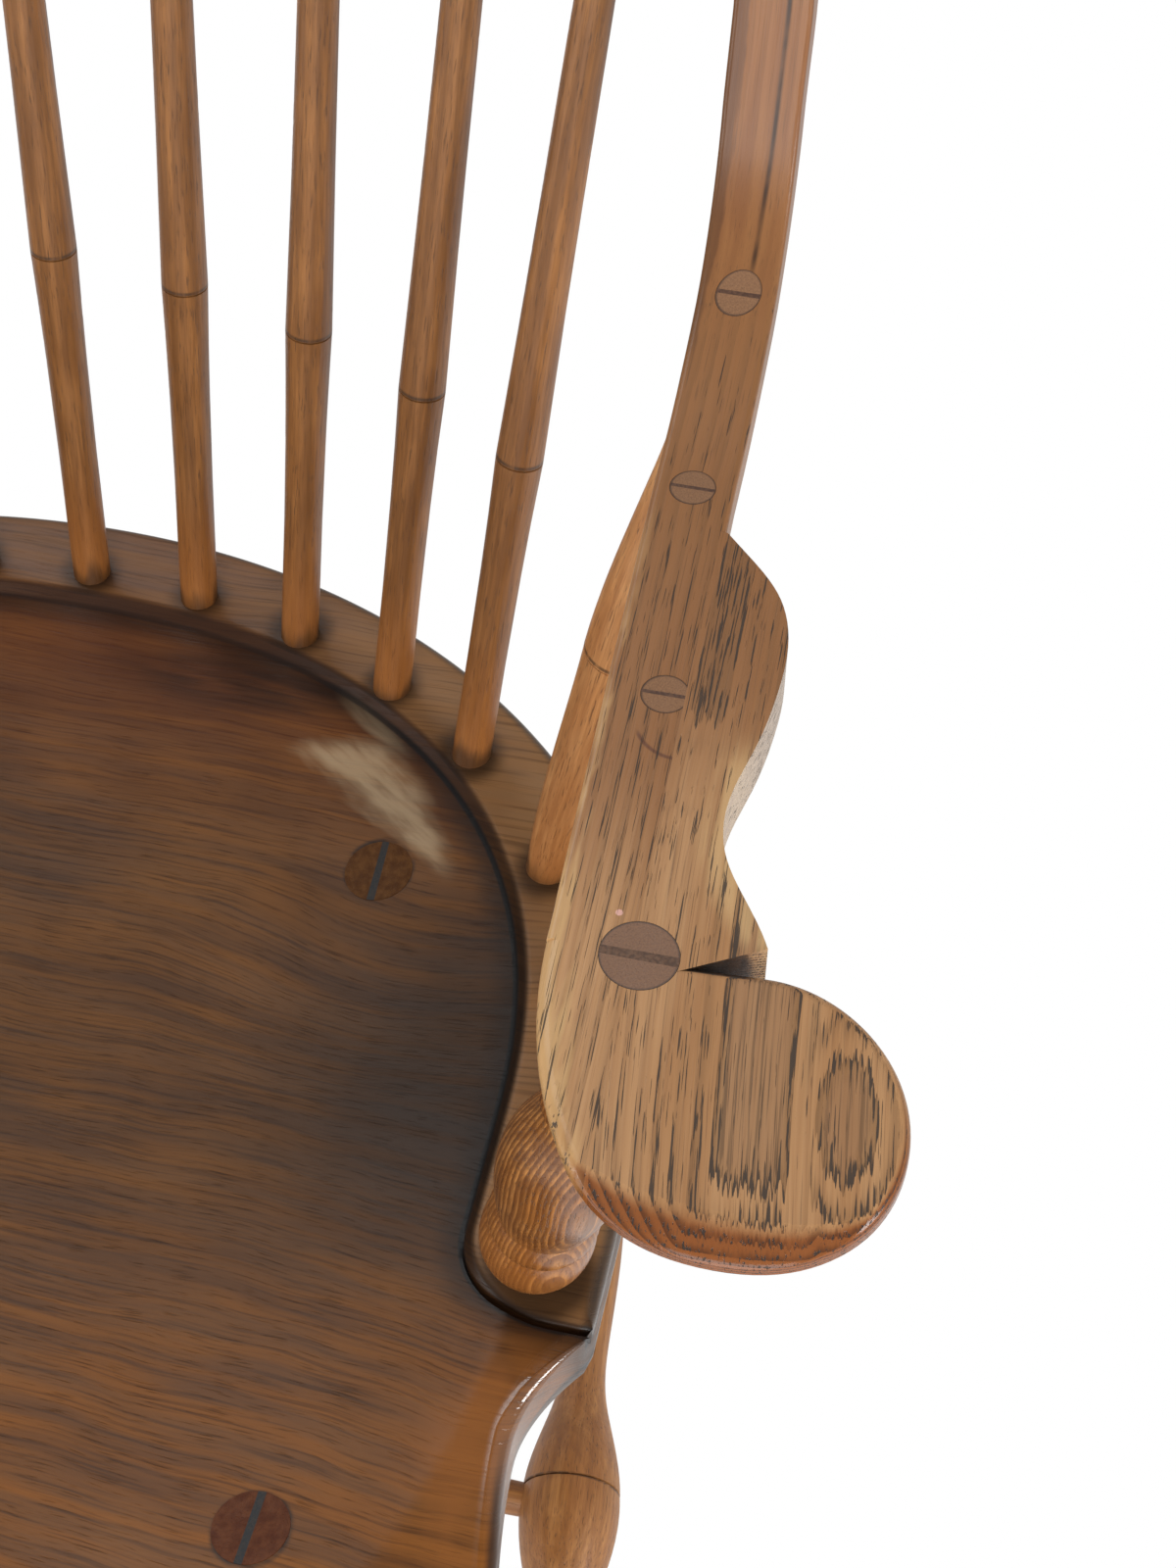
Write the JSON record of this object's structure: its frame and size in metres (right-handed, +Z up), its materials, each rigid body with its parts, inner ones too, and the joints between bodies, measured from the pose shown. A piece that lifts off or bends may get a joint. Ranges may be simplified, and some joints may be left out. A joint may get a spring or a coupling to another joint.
{
  "type": "windsor chair",
  "caption": "Continuous-arm windsor chair: one bent bow makes the back and both arms over a dished plank seat, turned legs and bamboo spindles.",
  "frame": {"origin": "on the floor, under the middle of the chair's bounding box", "axes": "+Z up, -Y towards the front of the seat, +X towards the sitter's left"},
  "size_m": [0.6724, 0.4977, 0.9547],
  "materials": {
    "seat_plank": "dark stained, oiled and worn",
    "arm_block_wood": "oiled oak, open pores",
    "bow_wood": "oiled oak, polished by hands",
    "turned_wood": "satin oil over turned wood",
    "spindle_wood": "satin oil over shaved wood",
    "wedge_wood": "darkened end grain"
  },
  "bodies": {
    "root": {"arm_block_left": "arm_block_wood", "arm_block_right": "arm_block_wood", "arm_stump_left": "turned_wood", "arm_stump_right": "turned_wood", "bow": "bow_wood", "front_leg_left": "turned_wood", "front_leg_right": "turned_wood", "leg_wedges": "wedge_wood", "long_spindle_1": "spindle_wood", "long_spindle_2": "spindle_wood", "long_spindle_3": "spindle_wood", "long_spindle_4": "spindle_wood", "long_spindle_5": "spindle_wood", "long_spindle_6": "spindle_wood", "long_spindle_7": "spindle_wood", "long_spindle_8": "spindle_wood", "long_spindle_9": "spindle_wood", "long_spindle_wedges": "wedge_wood", "medial_stretcher": "turned_wood", "rear_leg_left": "turned_wood", "rear_leg_right": "turned_wood", "seat": "seat_plank", "short_spindle_left_1": "spindle_wood", "short_spindle_left_2": "spindle_wood", "short_spindle_left_3": "spindle_wood", "short_spindle_right_1": "spindle_wood", "short_spindle_right_2": "spindle_wood", "short_spindle_right_3": "spindle_wood", "short_spindle_wedges": "wedge_wood", "side_stretcher_left": "turned_wood", "side_stretcher_right": "turned_wood", "stump_wedges": "wedge_wood"}
  },
  "joints": []
}
